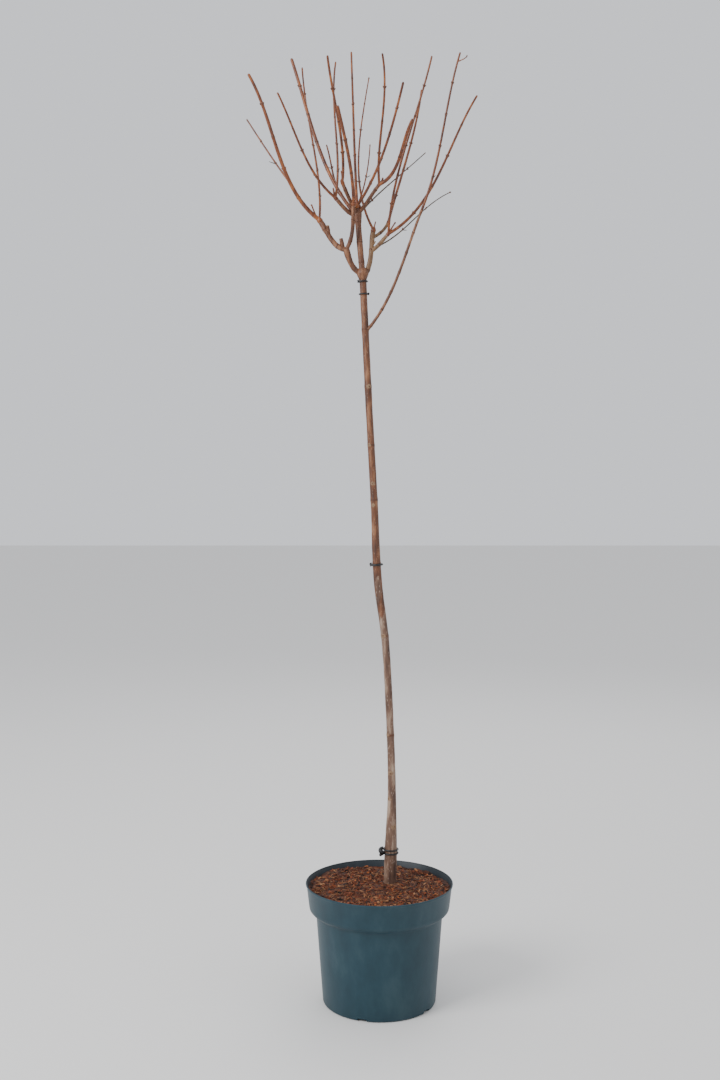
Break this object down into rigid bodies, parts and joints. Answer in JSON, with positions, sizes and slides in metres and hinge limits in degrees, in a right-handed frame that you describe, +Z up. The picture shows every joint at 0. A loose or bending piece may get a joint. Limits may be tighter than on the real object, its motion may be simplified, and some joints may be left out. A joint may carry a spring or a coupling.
{
  "type": "potted standard panicle hydrangea",
  "caption": "Leafless panicle hydrangea trained as a slim standard, with a swaying stem and an open crown of upright shoots, in a tapered nursery pot.",
  "frame": {"origin": "centre of the pot's flat underside", "axes": "+Z up the stem, +X to the right of the front view, +Y away from it"},
  "size_m": [0.3991, 0.2928, 1.6603],
  "materials": {
    "pot": "satin, dark petrol",
    "mix": "coarse reddish-brown bark and fibre",
    "stem_bark": "mahogany-brown bark with pale patches",
    "bough_bark": "brown bark",
    "shoot_bark": "smooth orange-brown bark",
    "tie": "black"
  },
  "bodies": {
    "root": {"pot": "pot", "potting_mix": "mix", "stem": "stem_bark", "leader": "bough_bark", "left_bough": "bough_bark", "left_outer_bough": "bough_bark", "left_inner_bough": "bough_bark", "right_bough": "bough_bark", "right_outer_bough": "bough_bark", "right_inner_bough": "bough_bark", "upper_left_bough": "bough_bark", "upper_front_bough": "bough_bark", "upper_right_bough": "bough_bark", "low_bough": "bough_bark", "left_outer_shoots": "shoot_bark", "upper_left_shoots": "shoot_bark", "upper_front_shoots": "shoot_bark", "inner_left_shoots": "shoot_bark", "leader_shoots": "shoot_bark", "upper_right_shoots": "shoot_bark", "right_outer_shoots": "shoot_bark", "right_inner_shoots": "shoot_bark", "right_back_shoots": "shoot_bark", "low_shoots": "shoot_bark", "back_left_shoots": "shoot_bark", "upper_right_twig": "shoot_bark", "right_low_twig": "shoot_bark", "lower_tie": "tie", "middle_tie": "tie", "upper_tie": "tie", "top_tie": "tie"}
  },
  "joints": []
}
